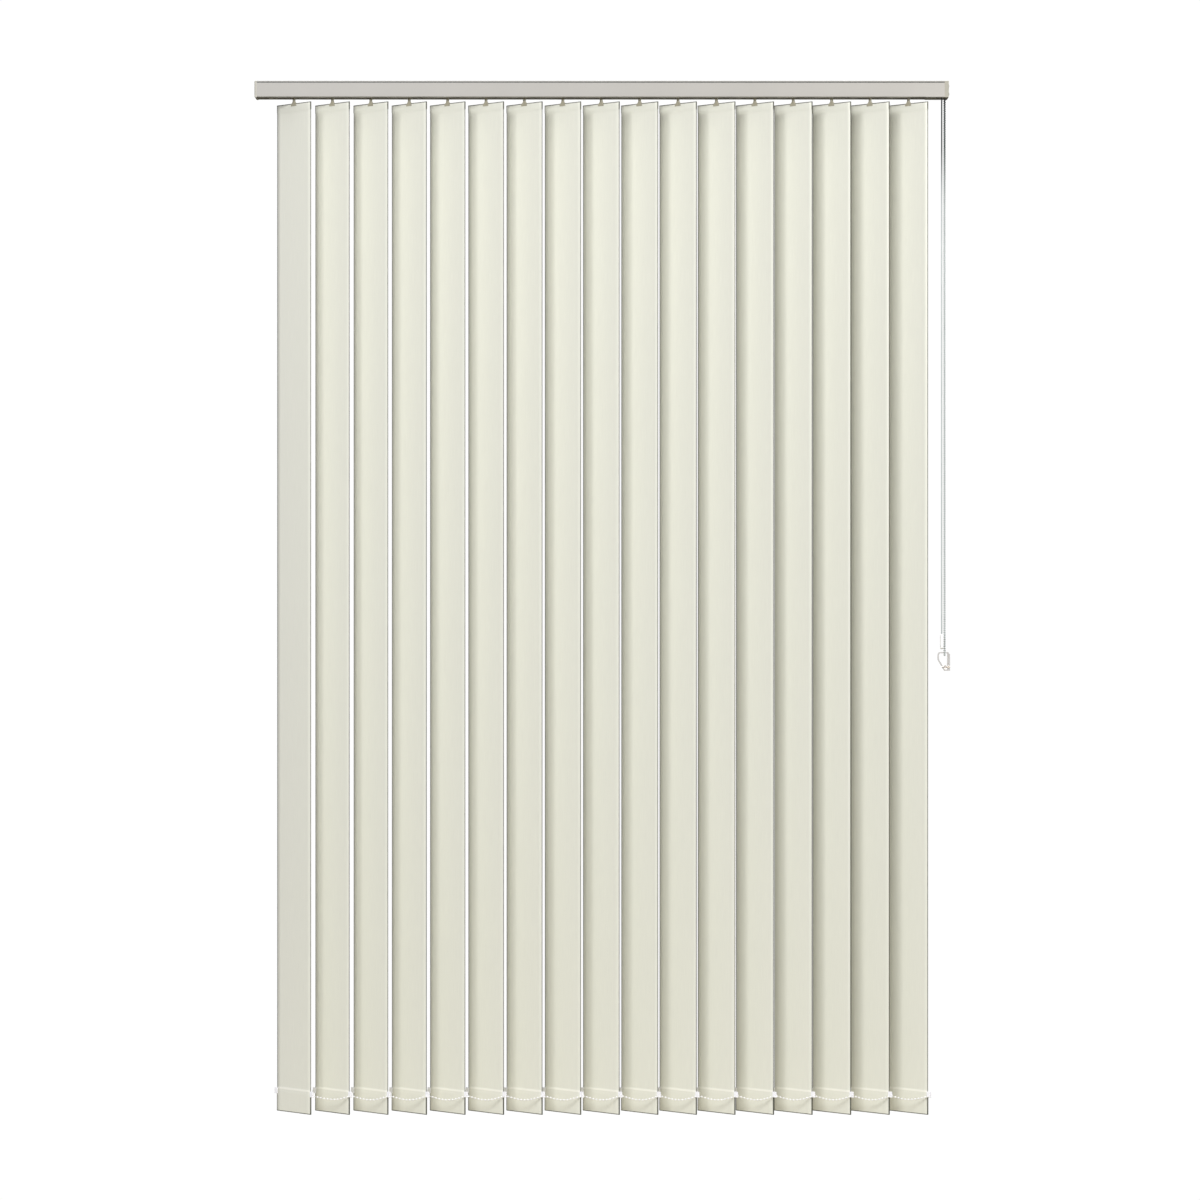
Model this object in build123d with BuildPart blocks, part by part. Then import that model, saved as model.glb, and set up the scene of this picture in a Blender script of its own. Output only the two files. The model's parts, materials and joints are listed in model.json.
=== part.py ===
"""Vertical blind: a ceiling-hung headrail with turning and drawing fabric slats.

Frame: origin on the ceiling plane, midway between the two bracket screws. +X runs along the rail
towards the controls, +Z is up and -Y faces the room. Sizes are in millimetres.
"""

import math
import os

from build123d import *

# slats
SLAT_COUNT = 17
SLAT_PITCH = 66.6
SLAT_WIDTH = 89.0
SLAT_DROP = 9.0  # from the rail to the slats
SLAT_LENGTH = 1750.0
SLAT_ANGLE = 45.0  # from the rail line, right-hand edge towards the room
FABRIC = 0.4
HEM_HEIGHT = 14.0
HANGER_THICKNESS = 0.7
POCKET_HEIGHT = 40.0
WEIGHT_THICKNESS = 1.0
SOFT_FIT = 0.05  # around the hanger and the weight in their folds

# headrail
END_MARGIN = 63.2  # from the first slat's axis to the rail's far end
CONTROL_MARGIN = 61.2  # from the last slat's axis to the rail's control end
RAIL_DEPTH = 40.0
RAIL_HEIGHT = 28.0
RAIL_WALL = 1.4
RAIL_SLOT = 12.0
TOP_RECESS = 4.0
TOP_LIP = 6.0
LIP_THICKNESS = 1.2
INSERT_FIT = 0.3  # between the rail and what slides into its ends
HOUSING_OVERLAP = 27.6  # from the hanging cord back to the start of the control housing
COVER_THICKNESS = 1.8
SCREW_Y = -12.0
SCREW_HEIGHTS = (-8.0, -22.0)
SCREW_RADIUS = 1.2
SCREW_HEAD_RADIUS = 2.3
SCREW_HEAD = 0.9
CAP_PLATE = 4.0
CAP_INSERT = 27.0
STOP_LENGTH = 7.0  # lug that closes the slot at the far end

# tilt drive
ROD_RADIUS = 3.0
ROD_Y = 9.0
ROD_Z = -14.0
ROD_GROOVES = 3
GROOVE_DEPTH = 0.6
GROOVE_WIDTH = 1.4
SHAFT_FIT = 0.08  # radial running clearance
WORM_RADIUS = 4.6
WORM_LENGTH = 9.4
GEAR_HEIGHT = 6.0
GEAR_TEETH = 12
MESH_GAP = 0.3
STEM_RADIUS = 2.5

# carriers
CARRIER_LENGTH = 14.0
CARRIER_FRONT_Y = -9.4
CARRIER_BACK_Y = 15.0
CARRIER_TOP_GAP = 2.8
CARRIER_BOTTOM_GAP = 1.6
WHEEL_RADIUS = 4.4
WHEEL_WIDTH = 2.2
WHEEL_GAP = 0.2
AXLE_RADIUS = 1.0
FRONT_BOSS = 3.7
STRIP_THICKNESS = 0.5
STRIP_HEIGHT = 2.2
STRIP_LANES = 5
LANE_PITCH = 1.8

# cord drive
CORD_RADIUS = 0.9
CORD_Z = -12.0
STRAND_FRONT_Y = -14.5
STRAND_BACK_Y = -6.5
PULLEY_TURN = 4.0  # pulley centre to cord centre
CORD_INSET = 4.4  # from the rail's end to where both strands hang
CORD_GAP = 0.3
CORD_LOOP_Z = -966.0
CORD_WEIGHT_RISE = 9.0  # above the start of the cord's loop
CORD_WEIGHT_LENGTH = 26.0
CORD_WEIGHT_WIDTH = 5.0

# bead chains, as plain round lines of the beads' diameter
CHAIN_RADIUS = 1.6
CHAIN_OUTSET = 2.2  # past the rail's end
CHAIN_TURN = 7.0  # rod axis to chain centre
CHAIN_LOOP_Z = -986.7
SWAG_DROP = 2.0  # below the clips' middle
SWAG_SAG = 7.0
SWAG_NEAR_GAP = 2.4  # from a clip's axis to a swag on its outer side
SWAG_FAR_GAP = 5.3  # and to the swag that passes its slat

# chain clips
CLIP_HEIGHT = 14.0
CLIP_THICKNESS = 3.2
CLIP_REACH = 4.5  # from the slat's edge to the clip's axis
CLIP_GRIP = 6.5
CLIP_RISE = 35.0  # above the slat's lower edge

# chain tidy
TIDY_WALL = 2.4
TIDY_DEPTH = 6.0
TIDY_HEIGHT = 32.7
TIDY_REACH = 12.2  # from the chain to the ring's round side
PLATE_OFFSET = 6.8  # from the chain to the wall plate
PLATE_THICKNESS = 2.0
PLATE_DEPTH = 20.0

# mounting brackets
BRACKET_SPACING = 900.0
BRACKET_LENGTH = 30.0
BRACKET_PLATE = 1.5
SCREW_HOLE_RADIUS = 2.25

os.makedirs("parts", exist_ok=True)

slat_x = [(number - (SLAT_COUNT - 1) / 2) * SLAT_PITCH for number in range(SLAT_COUNT)]
rail_from = slat_x[0] - END_MARGIN
rail_to = slat_x[-1] + CONTROL_MARGIN
inner_half = RAIL_DEPTH / 2 - RAIL_WALL
ceiling_z = -TOP_RECESS - RAIL_WALL
track_z = -RAIL_HEIGHT + RAIL_WALL
carrier_top = ceiling_z - CARRIER_TOP_GAP
carrier_bottom = track_z + CARRIER_BOTTOM_GAP
slat_top = -RAIL_HEIGHT - SLAT_DROP
slat_bottom = slat_top - SLAT_LENGTH
clip_z = slat_bottom + CLIP_RISE
clip_axis_u = SLAT_WIDTH / 2 + CLIP_REACH  # from the slat's middle to the clip's axis
swag_z = clip_z - SWAG_DROP
cord_x = rail_to - CORD_INSET
cord_weight_top = CORD_LOOP_Z + CORD_WEIGHT_RISE
chain_x = rail_to + CHAIN_OUTSET
tidy_top = CHAIN_LOOP_Z - CHAIN_RADIUS
tidy_bottom = tidy_top - TIDY_HEIGHT
tidy_left = chain_x - TIDY_REACH
plate_x = chain_x + PLATE_OFFSET
turn = math.radians(SLAT_ANGLE)
along = Vector(math.cos(turn), -math.sin(turn), 0)  # along a slat, to its right-hand edge
across = Vector(math.sin(turn), math.cos(turn), 0)  # through a slat, to its back


def save(piece, name):
    piece.part.label = name
    export_step(piece.part, f"parts/{name}.step")


def x_plane(x, y=0.0, z=0.0):
    """Plane across the rail: local x is +Y and local y is +Z."""
    return Plane(origin=(x, y, z), x_dir=(0, 1, 0), z_dir=(1, 0, 0))


def y_plane(y, x=0.0, z=0.0):
    """Plane facing the back: local x is -X and local y is +Z."""
    return Plane(origin=(x, y, z), x_dir=(-1, 0, 0), z_dir=(0, 1, 0))


def front_plane(y, x=0.0, z=0.0):
    """Plane facing the room: local x is +X and local y is +Z."""
    return Plane(origin=(x, y, z), x_dir=(1, 0, 0), z_dir=(0, -1, 0))


def block(x0, x1, y0, y1, z0, z1, mode=Mode.ADD):
    with BuildSketch(Plane.XY.offset(z0)) as profile:
        with Locations(((x0 + x1) / 2, (y0 + y1) / 2)):
            Rectangle(x1 - x0, y1 - y0)
    extrude(profile.sketch, amount=z1 - z0, mode=mode)


def rod_x(x0, x1, y, z, radius, mode=Mode.ADD):
    """Round bar or hole along X."""
    with BuildSketch(x_plane(x0, y, z)) as profile:
        Circle(radius)
    extrude(profile.sketch, amount=x1 - x0, mode=mode)


def rod_y(y0, y1, x, z, radius, mode=Mode.ADD):
    """Round bar or hole along Y."""
    with BuildSketch(y_plane(y0, x, z)) as profile:
        Circle(radius)
    extrude(profile.sketch, amount=y1 - y0, mode=mode)


def rod_z(z0, z1, x, y, radius, mode=Mode.ADD):
    """Round bar or hole along Z."""
    with BuildSketch(Plane(origin=(x, y, z0))) as profile:
        Circle(radius)
    extrude(profile.sketch, amount=z1 - z0, mode=mode)


def tube(line, radius, mode=Mode.ADD):
    """Round tube along a line of runs and arcs."""
    with BuildSketch(Plane(origin=line @ 0, z_dir=line % 0)) as section:
        Circle(radius)
    sweep(section.sketch, path=line, mode=mode)


# headrail: open below for the stems, with a recess on top for the bracket plates
control_from = cord_x - HOUSING_OVERLAP  # the rail's track is cut away from here
with BuildPart() as headrail:
    with BuildSketch(x_plane(rail_from)):
        with Locations((0, -RAIL_HEIGHT / 2)):
            Rectangle(RAIL_DEPTH, RAIL_HEIGHT)
        with Locations((0, (ceiling_z + track_z) / 2)):
            Rectangle(2 * inner_half, ceiling_z - track_z, mode=Mode.SUBTRACT)
        with Locations((0, -RAIL_HEIGHT)):
            Rectangle(RAIL_SLOT, 4 * RAIL_WALL, mode=Mode.SUBTRACT)
        with Locations((0, -(TOP_RECESS + LIP_THICKNESS) / 2)):
            Rectangle(2 * inner_half, TOP_RECESS - LIP_THICKNESS, mode=Mode.SUBTRACT)
        with Locations((0, -LIP_THICKNESS / 2)):
            Rectangle(RAIL_DEPTH - 2 * TOP_LIP, 2 * LIP_THICKNESS, mode=Mode.SUBTRACT)
    extrude(amount=rail_to - rail_from)
    block(control_from, rail_to, -inner_half, inner_half, -RAIL_HEIGHT - 1, track_z + 0.01, Mode.SUBTRACT)
save(headrail, "headrail")

# bracket plates caught under the rail's top lips, flush with the ceiling plane
for name, side in (("bracket_left", -1), ("bracket_right", 1)):
    middle = side * BRACKET_SPACING / 2
    wing_top = -LIP_THICKNESS - SHAFT_FIT
    neck_half = RAIL_DEPTH / 2 - TOP_LIP - INSERT_FIT
    wing_half = inner_half - 1.0
    ends = (middle - BRACKET_LENGTH / 2, middle + BRACKET_LENGTH / 2)
    with BuildPart() as bracket:
        block(*ends, -wing_half, wing_half, wing_top - BRACKET_PLATE, wing_top)
        block(*ends, -neck_half, neck_half, wing_top, 0)
        rod_z(wing_top - BRACKET_PLATE, 0, middle, 0, SCREW_HOLE_RADIUS, Mode.SUBTRACT)
    save(bracket, name)

# tilt rod: grooved, from the far end cap to the sprocket
chamber_from = chain_x - 2.8
chamber_to = chain_x + 3.4
rod_from = rail_from + 6.0
rod_to = chamber_to - 0.6
with BuildPart() as tilt_rod:
    with BuildSketch(x_plane(rod_from, ROD_Y, ROD_Z)):
        Circle(ROD_RADIUS)
        with PolarLocations(ROD_RADIUS - GROOVE_DEPTH / 2, ROD_GROOVES):
            Rectangle(2 * GROOVE_DEPTH, GROOVE_WIDTH, mode=Mode.SUBTRACT)
    extrude(amount=rod_to - rod_from)
save(tilt_rod, "tilt_rod")

# chain sprocket on the end of the rod
flange_radius = CHAIN_TURN + 1.2
sprocket_half = CHAIN_RADIUS + CORD_GAP + 0.7
with BuildPart() as chain_sprocket:
    with BuildSketch(front_plane(ROD_Y, 0, ROD_Z)):
        with BuildLine():
            Polyline(
                (chain_x - sprocket_half, ROD_RADIUS + SHAFT_FIT),
                (chain_x - sprocket_half, flange_radius),
                (chain_x - CHAIN_RADIUS - CORD_GAP, flange_radius),
                (chain_x - CHAIN_RADIUS - CORD_GAP, CHAIN_TURN),
            )
            ThreePointArc(
                (chain_x - CHAIN_RADIUS - CORD_GAP, CHAIN_TURN),
                (chain_x, CHAIN_TURN - CHAIN_RADIUS - CORD_GAP),
                (chain_x + CHAIN_RADIUS + CORD_GAP, CHAIN_TURN),
            )
            Polyline(
                (chain_x + CHAIN_RADIUS + CORD_GAP, CHAIN_TURN),
                (chain_x + CHAIN_RADIUS + CORD_GAP, flange_radius),
                (chain_x + sprocket_half, flange_radius),
                (chain_x + sprocket_half, ROD_RADIUS + SHAFT_FIT),
                (chain_x - sprocket_half, ROD_RADIUS + SHAFT_FIT),
            )
        make_face()
    revolve(axis=Axis((0, ROD_Y, ROD_Z), (1, 0, 0)))
save(chain_sprocket, "chain_sprocket")

# control housing: an insert in the rail, a floor under it and a flange outside
insert_half = inner_half - INSERT_FIT
insert_top = ceiling_z - INSERT_FIT
floor_bottom = -RAIL_HEIGHT - 0.5
flange_to = chamber_to
pulley_x = cord_x - PULLEY_TURN
pulley_z = CORD_Z - PULLEY_TURN
flange_radius_cord = PULLEY_TURN + 0.8
cord_chamber = (pulley_x - flange_radius_cord - 0.8, cord_x + 1.6)
sprocket_chamber = flange_radius + 0.6
pin_radius = 1.2
cord_hole = CORD_RADIUS + 0.6
with BuildPart() as control_housing:
    block(control_from + INSERT_FIT, rail_to, -insert_half, insert_half, floor_bottom, insert_top)
    block(rail_to, flange_to, -RAIL_DEPTH / 2, RAIL_DEPTH / 2, floor_bottom, 0)
    fillet(control_housing.edges().filter_by(Axis.X).group_by(Axis.X)[-1], 0.8)
    block(*cord_chamber, -17.0, -4.0, floor_bottom, CORD_Z + CORD_RADIUS + 3, Mode.SUBTRACT)
    rod_x(chamber_from, flange_to, ROD_Y, ROD_Z, sprocket_chamber, Mode.SUBTRACT)
    block(
        chamber_from, chain_x + sprocket_half + 0.3, ROD_Y - sprocket_chamber, ROD_Y + sprocket_chamber,
        floor_bottom, ROD_Z, Mode.SUBTRACT,
    )
    rod_x(control_from, chamber_from, ROD_Y, ROD_Z, ROD_RADIUS + SHAFT_FIT, Mode.SUBTRACT)
    for strand_y in (STRAND_FRONT_Y, STRAND_BACK_Y):
        rod_x(control_from, cord_chamber[0], strand_y, CORD_Z, cord_hole, Mode.SUBTRACT)
    rod_y(-insert_half, -2.4, pulley_x, pulley_z, pin_radius, Mode.SUBTRACT)
    for screw_z in SCREW_HEIGHTS:
        rod_x(chamber_from, flange_to, SCREW_Y, screw_z, SCREW_RADIUS + SOFT_FIT, Mode.SUBTRACT)
save(control_housing, "control_housing")

# cover over the sprocket, with a crowned outside
cover_to = flange_to + COVER_THICKNESS
with BuildPart() as control_cover:
    block(flange_to, cover_to, -RAIL_DEPTH / 2, RAIL_DEPTH / 2, floor_bottom, 0)
    fillet(control_cover.faces().sort_by(Axis.X)[-1].edges(), 1.0)
    for screw_z in SCREW_HEIGHTS:
        rod_x(flange_to, cover_to, SCREW_Y, screw_z, SCREW_RADIUS + SOFT_FIT, Mode.SUBTRACT)
save(control_cover, "control_cover")

with BuildPart() as cover_screws:
    for screw_z in SCREW_HEIGHTS:
        rod_x(chamber_from + INSERT_FIT, cover_to, SCREW_Y, screw_z, SCREW_RADIUS)
        rod_x(cover_to, cover_to + SCREW_HEAD, SCREW_Y, screw_z, SCREW_HEAD_RADIUS)
save(cover_screws, "cover_screws")

# pulleys that turn the two cord strands down, on one pin
for name, strand_y in (("cord_pulley_front", STRAND_FRONT_Y), ("cord_pulley_back", STRAND_BACK_Y)):
    with BuildPart() as cord_pulley:
        with BuildSketch(x_plane(pulley_x, strand_y, pulley_z)):
            with Locations((0, (flange_radius_cord + pin_radius + SHAFT_FIT) / 2)):
                Rectangle(4.0, flange_radius_cord - pin_radius - SHAFT_FIT)
            with Locations((0, PULLEY_TURN)):
                Circle(CORD_RADIUS + CORD_GAP, mode=Mode.SUBTRACT)
            with Locations((0, PULLEY_TURN + 1)):
                Rectangle(2 * (CORD_RADIUS + CORD_GAP), 2, mode=Mode.SUBTRACT)
        revolve(axis=Axis((pulley_x, 0, pulley_z), (0, 1, 0)))
    save(cord_pulley, name)

with BuildPart() as cord_pulley_pin:
    rod_y(-insert_half + 0.1, -2.5, pulley_x, pulley_z, pin_radius)
save(cord_pulley_pin, "cord_pulley_pin")

# far end cap: an outer plate with a low foot, and an insert that holds the return pulley
slot_half = RAIL_SLOT / 2 - INSERT_FIT
return_turn = (STRAND_BACK_Y - STRAND_FRONT_Y) / 2
return_y = (STRAND_BACK_Y + STRAND_FRONT_Y) / 2
return_x = rail_from + 13.0
return_flange = return_turn + 0.9
insert_to = rail_from + CAP_INSERT
stop_from = insert_to - STOP_LENGTH
with BuildPart() as end_cap:
    block(rail_from - CAP_PLATE, rail_from, -RAIL_DEPTH / 2, RAIL_DEPTH / 2, floor_bottom, 0)
    fillet(end_cap.faces().sort_by(Axis.X)[0].edges(), 1.8)
    block(rail_from, insert_to, -insert_half, insert_half, track_z + INSERT_FIT, insert_top)
    block(stop_from, insert_to, -slot_half, slot_half, -RAIL_HEIGHT - 0.4, track_z + INSERT_FIT)
    block(
        return_x - return_flange - 0.8, insert_to, return_y - return_flange - 0.8,
        return_y + return_flange + 0.8, CORD_Z - 2.5, CORD_Z + 2.5, Mode.SUBTRACT,
    )
    rod_z(CORD_Z - 5.5, CORD_Z + 4.5, return_x, return_y, AXLE_RADIUS, Mode.SUBTRACT)
    rod_x(rail_from + 4, insert_to, ROD_Y, ROD_Z, ROD_RADIUS + SHAFT_FIT, Mode.SUBTRACT)
save(end_cap, "end_cap")

with BuildPart() as return_pulley:
    with BuildSketch(front_plane(return_y, return_x, CORD_Z)):
        with Locations(((return_flange + AXLE_RADIUS + SHAFT_FIT) / 2, 0)):
            Rectangle(return_flange - AXLE_RADIUS - SHAFT_FIT, 4.0)
        with Locations((return_turn, 0)):
            Circle(CORD_RADIUS + CORD_GAP, mode=Mode.SUBTRACT)
        with Locations((return_turn + 1, 0)):
            Rectangle(2, 2 * (CORD_RADIUS + CORD_GAP), mode=Mode.SUBTRACT)
    revolve(axis=Axis((return_x, return_y, 0), (0, 0, 1)))
save(return_pulley, "return_pulley")

with BuildPart() as return_pulley_pin:
    rod_z(CORD_Z - 5.5, CORD_Z + 4.5, return_x, return_y, AXLE_RADIUS)
save(return_pulley_pin, "return_pulley_pin")

# cord inside the rail: over the front pulley, along, round the return pulley and back
quarter = PULLEY_TURN * math.sin(math.radians(45))
with BuildPart() as rail_cord:
    with BuildLine() as rail_route:
        ThreePointArc(
            (cord_x, STRAND_FRONT_Y, pulley_z),
            (pulley_x + quarter, STRAND_FRONT_Y, pulley_z + quarter),
            (pulley_x, STRAND_FRONT_Y, CORD_Z),
        )
        Line((pulley_x, STRAND_FRONT_Y, CORD_Z), (return_x, STRAND_FRONT_Y, CORD_Z))
        ThreePointArc(
            (return_x, STRAND_FRONT_Y, CORD_Z),
            (return_x - return_turn, return_y, CORD_Z),
            (return_x, STRAND_BACK_Y, CORD_Z),
        )
        Line((return_x, STRAND_BACK_Y, CORD_Z), (pulley_x, STRAND_BACK_Y, CORD_Z))
        ThreePointArc(
            (pulley_x, STRAND_BACK_Y, CORD_Z),
            (pulley_x + quarter, STRAND_BACK_Y, pulley_z + quarter),
            (cord_x, STRAND_BACK_Y, pulley_z),
        )
    tube(rail_route.wires()[0], CORD_RADIUS)
save(rail_cord, "rail_cord")

# pull cord: two strands hanging taut, joined by a loop in the cord weight
with BuildPart() as pull_cord:
    with BuildLine() as pull_route:
        Line((cord_x, STRAND_FRONT_Y, pulley_z), (cord_x, STRAND_FRONT_Y, CORD_LOOP_Z))
        ThreePointArc(
            (cord_x, STRAND_FRONT_Y, CORD_LOOP_Z),
            (cord_x, return_y, CORD_LOOP_Z - return_turn),
            (cord_x, STRAND_BACK_Y, CORD_LOOP_Z),
        )
        Line((cord_x, STRAND_BACK_Y, CORD_LOOP_Z), (cord_x, STRAND_BACK_Y, pulley_z))
    tube(pull_route.wires()[0], CORD_RADIUS)
save(pull_cord, "pull_cord")

weight_half = return_turn + CORD_RADIUS + 1.6
with BuildPart() as cord_weight:
    with BuildSketch(x_plane(cord_x - CORD_WEIGHT_WIDTH / 2, return_y, cord_weight_top)):
        with Locations((0, -CORD_WEIGHT_LENGTH / 2)):
            RectangleRounded(2 * weight_half, CORD_WEIGHT_LENGTH, 4.0)
    extrude(amount=CORD_WEIGHT_WIDTH)
    fillet(cord_weight.faces().sort_by(Axis.X)[-1].edges(), 1.2)
    fillet(cord_weight.faces().sort_by(Axis.X)[0].edges(), 1.2)
    with BuildLine() as channel:
        Line((cord_x, STRAND_FRONT_Y, cord_weight_top + 2), (cord_x, STRAND_FRONT_Y, CORD_LOOP_Z))
        ThreePointArc(
            (cord_x, STRAND_FRONT_Y, CORD_LOOP_Z),
            (cord_x, return_y, CORD_LOOP_Z - return_turn),
            (cord_x, STRAND_BACK_Y, CORD_LOOP_Z),
        )
        Line((cord_x, STRAND_BACK_Y, CORD_LOOP_Z), (cord_x, STRAND_BACK_Y, cord_weight_top + 2))
    tube(channel.wires()[0], CORD_RADIUS + 0.2, Mode.SUBTRACT)
save(cord_weight, "cord_weight")

# tilt chain: a closed loop over the sprocket and through the chain tidy
chain_front_y = ROD_Y - CHAIN_TURN
chain_back_y = ROD_Y + CHAIN_TURN
with BuildPart() as tilt_chain:
    with BuildLine() as hanging_route:
        Line((chain_x, chain_front_y, ROD_Z), (chain_x, chain_front_y, CHAIN_LOOP_Z))
        ThreePointArc(
            (chain_x, chain_front_y, CHAIN_LOOP_Z),
            (chain_x, ROD_Y, CHAIN_LOOP_Z - CHAIN_TURN),
            (chain_x, chain_back_y, CHAIN_LOOP_Z),
        )
        Line((chain_x, chain_back_y, CHAIN_LOOP_Z), (chain_x, chain_back_y, ROD_Z))
        ThreePointArc(
            (chain_x, chain_back_y, ROD_Z),
            (chain_x, ROD_Y, ROD_Z + CHAIN_TURN),
            (chain_x, chain_front_y, ROD_Z),
        )
    tube(hanging_route.wires()[0], CHAIN_RADIUS)
save(tilt_chain, "tilt_chain")

# chain tidy: a clear D-shaped ring on the chain's loop, with a wall plate and a screw boss
boss_z = tidy_bottom + 6.5
with BuildPart() as chain_tidy:
    with BuildSketch(front_plane(ROD_Y + TIDY_DEPTH / 2)):
        with BuildLine():
            Polyline(
                (tidy_left + 5, tidy_top),
                (plate_x, tidy_top),
                (plate_x, tidy_bottom),
                (chain_x - 1, tidy_bottom),
                (tidy_left, tidy_top - 14),
                (tidy_left, tidy_top - 5),
            )
            ThreePointArc(
                (tidy_left, tidy_top - 5),
                (tidy_left + 1.46, tidy_top - 1.46),
                (tidy_left + 5, tidy_top),
            )
        make_face()
        offset(amount=-TIDY_WALL, kind=Kind.INTERSECTION, mode=Mode.SUBTRACT)
    extrude(amount=TIDY_DEPTH)
    block(
        plate_x, plate_x + PLATE_THICKNESS, ROD_Y - PLATE_DEPTH / 2, ROD_Y + PLATE_DEPTH / 2,
        tidy_bottom, tidy_top - 3,
    )
    rod_x(chain_x - 1, plate_x, ROD_Y, boss_z, 3.4)
    rod_x(tidy_left, plate_x + PLATE_THICKNESS, ROD_Y, boss_z, 2.0, Mode.SUBTRACT)
save(chain_tidy, "chain_tidy")

# carriers
wheel_z = track_z + WHEEL_GAP + WHEEL_RADIUS
gear_radius = ROD_Y - WORM_RADIUS - MESH_GAP
gear_bottom = ROD_Z - GEAR_HEIGHT / 2
pocket_bottom = gear_bottom - MESH_GAP
boss_bottom = -RAIL_HEIGHT + 0.6
strip_bottom = carrier_top + 0.3
strip_top = strip_bottom + STRIP_HEIGHT
for number, x in enumerate(slat_x, start=1):
    x0, x1 = x - CARRIER_LENGTH / 2, x + CARRIER_LENGTH / 2
    front_wheel = CARRIER_FRONT_Y - FRONT_BOSS - 0.3 - WHEEL_WIDTH
    back_wheel = CARRIER_BACK_Y + 0.3
    lane_y = ROD_Y + (number % STRIP_LANES - (STRIP_LANES - 1) / 2) * LANE_PITCH
    with BuildPart() as carrier:
        block(x0, x1, CARRIER_FRONT_Y, CARRIER_BACK_Y, carrier_bottom, carrier_top)
        fillet(carrier.edges().filter_by(Axis.Z), 1.5)
        rod_z(boss_bottom, carrier_bottom, x, 0, STEM_RADIUS + 2.0)
        rod_y(CARRIER_FRONT_Y - FRONT_BOSS, CARRIER_FRONT_Y, x, wheel_z, 2.4)
        rod_y(front_wheel, CARRIER_FRONT_Y - FRONT_BOSS, x, wheel_z, AXLE_RADIUS)
        rod_y(CARRIER_BACK_Y, back_wheel + WHEEL_WIDTH, x, wheel_z, AXLE_RADIUS)
        if number == 1:
            block(x0 + 2, x1 - 2, -16.5, CARRIER_FRONT_Y, CORD_Z - 2.6, CORD_Z + 2.6)
            rod_x(x0, x1, STRAND_FRONT_Y, CORD_Z, CORD_RADIUS + CORD_GAP, Mode.SUBTRACT)
        chamber = (x - WORM_LENGTH / 2 - MESH_GAP, x + WORM_LENGTH / 2 + MESH_GAP)
        rod_x(*chamber, ROD_Y, ROD_Z, WORM_RADIUS + MESH_GAP, Mode.SUBTRACT)
        rod_x(x0, x1, ROD_Y, ROD_Z, ROD_RADIUS + SHAFT_FIT, Mode.SUBTRACT)
        rod_x(x0, x1, STRAND_BACK_Y, CORD_Z, CORD_RADIUS + 0.5, Mode.SUBTRACT)
        rod_z(pocket_bottom, carrier_top, x, 0, gear_radius + MESH_GAP, Mode.SUBTRACT)
        rod_z(boss_bottom, pocket_bottom, x, 0, STEM_RADIUS + SHAFT_FIT, Mode.SUBTRACT)
        # wheels
        for wheel_y in (front_wheel, back_wheel):
            with BuildSketch(y_plane(wheel_y, x, wheel_z)):
                Circle(WHEEL_RADIUS)
                Circle(AXLE_RADIUS + SHAFT_FIT, mode=Mode.SUBTRACT)
            extrude(amount=WHEEL_WIDTH)
        # worm
        with BuildSketch(x_plane(x - WORM_LENGTH / 2, ROD_Y, ROD_Z)):
            Circle(WORM_RADIUS)
            Circle(ROD_RADIUS + SHAFT_FIT, mode=Mode.SUBTRACT)
        extrude(amount=WORM_LENGTH)
        # spacer strip that reaches over the carrier before it
        if number > 1:
            strip = (lane_y - STRIP_THICKNESS / 2, lane_y + STRIP_THICKNESS / 2)
            block(x - 2, x + 2, lane_y - 0.6, lane_y + 0.6, carrier_top, strip_bottom - SOFT_FIT)
            block(x - SLAT_PITCH - 4, x + 2, *strip, strip_bottom, strip_top)
    save(carrier, f"carrier_{number:02d}")

# one slat's pieces, made on the middle axis and then placed at each stem
hem_half = HANGER_THICKNESS / 2 + SOFT_FIT + FABRIC
hem_bottom = slat_top - HEM_HEIGHT
hanger_z = slat_top - HEM_HEIGHT / 2
pocket_half = WEIGHT_THICKNESS / 2 + SOFT_FIT + FABRIC
pocket_top = slat_bottom + POCKET_HEIGHT
weight_z = slat_bottom + POCKET_HEIGHT / 2
fold = FABRIC + SOFT_FIT
hook_top = boss_bottom - 1.4
hook_half = 1.5
hook_width = 14.0
jaw_height = 4.5
catch_z = slat_top - 2.7
catch_radius = 1.2
end_plane = Plane(origin=along * (-SLAT_WIDTH / 2), x_dir=across, z_dir=along)
face_plane = Plane(origin=(0, 0, 0), x_dir=along, z_dir=across * -1)
top_plane = Plane(origin=(0, 0, clip_z - CLIP_HEIGHT / 2), x_dir=along, z_dir=(0, 0, 1))

# stem: worm gear, round neck and a flat hook that straddles the slat's top edge
with BuildPart() as stem:
    with BuildSketch(Plane.XY.offset(gear_bottom)):
        Circle(gear_radius)
        with PolarLocations(gear_radius, GEAR_TEETH):
            Rectangle(1.6, 1.0, mode=Mode.SUBTRACT)
    extrude(amount=GEAR_HEIGHT)
    rod_z(hook_top - 2.0, gear_bottom, 0, 0, STEM_RADIUS)
    with BuildSketch(face_plane):
        with BuildLine():
            Polyline(
                (-STEM_RADIUS, hook_top),
                (STEM_RADIUS, hook_top),
                (hook_width / 2, slat_top + 1.2),
                (hook_width / 2, slat_top - jaw_height),
                (-hook_width / 2, slat_top - jaw_height),
                (-hook_width / 2, slat_top + 1.2),
                (-STEM_RADIUS, hook_top),
            )
        make_face()
    extrude(amount=hook_half, both=True)
    with BuildSketch(end_plane):
        with Locations((0, hanger_z + SOFT_FIT)):
            Rectangle(2 * (hem_half + SOFT_FIT), HEM_HEIGHT)
    extrude(amount=SLAT_WIDTH, mode=Mode.SUBTRACT)
    with BuildSketch(face_plane):
        with Locations((0, catch_z)):
            Circle(catch_radius)
    extrude(amount=hook_half, both=True)

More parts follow.
